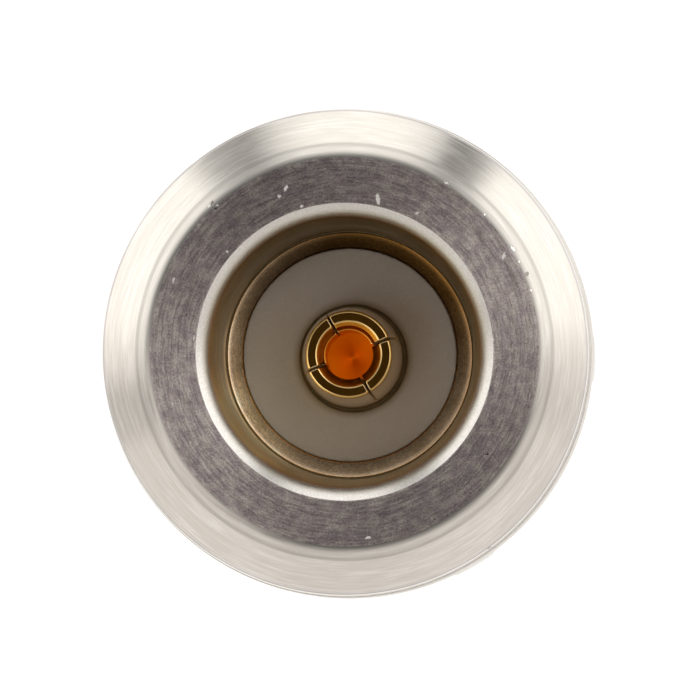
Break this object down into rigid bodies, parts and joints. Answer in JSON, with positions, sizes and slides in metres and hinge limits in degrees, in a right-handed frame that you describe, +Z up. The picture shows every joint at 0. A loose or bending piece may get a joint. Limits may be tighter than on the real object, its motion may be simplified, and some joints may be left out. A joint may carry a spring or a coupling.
{
  "type": "n to tnc coaxial adapter",
  "caption": "Straight coaxial adapter joining a threaded type N socket to a threaded TNC socket, with a hexagonal grip, white PTFE beads and gold spring contacts.",
  "frame": {"origin": "centre of the TNC end's face, on the part's axis; the part stands on that face", "axes": "+Z up along the part's axis, from the TNC end to the type N end"},
  "size_m": [0.0158, 0.0158, 0.03],
  "materials": {
    "nickel_shell": "turned brass, nickel plated, lathe marks left on the end face",
    "nickel_body": "turned brass, nickel plated, satin",
    "ptfe": "white PTFE, matt, faintly waxy",
    "gold_contact": "gold plated, polished"
  },
  "bodies": {
    "root": {"n_shell": "nickel_shell", "tnc_body": "nickel_body", "n_insulator": "ptfe", "tnc_insulator": "ptfe", "n_contact": "gold_contact", "tnc_contact": "gold_contact"}
  },
  "joints": []
}
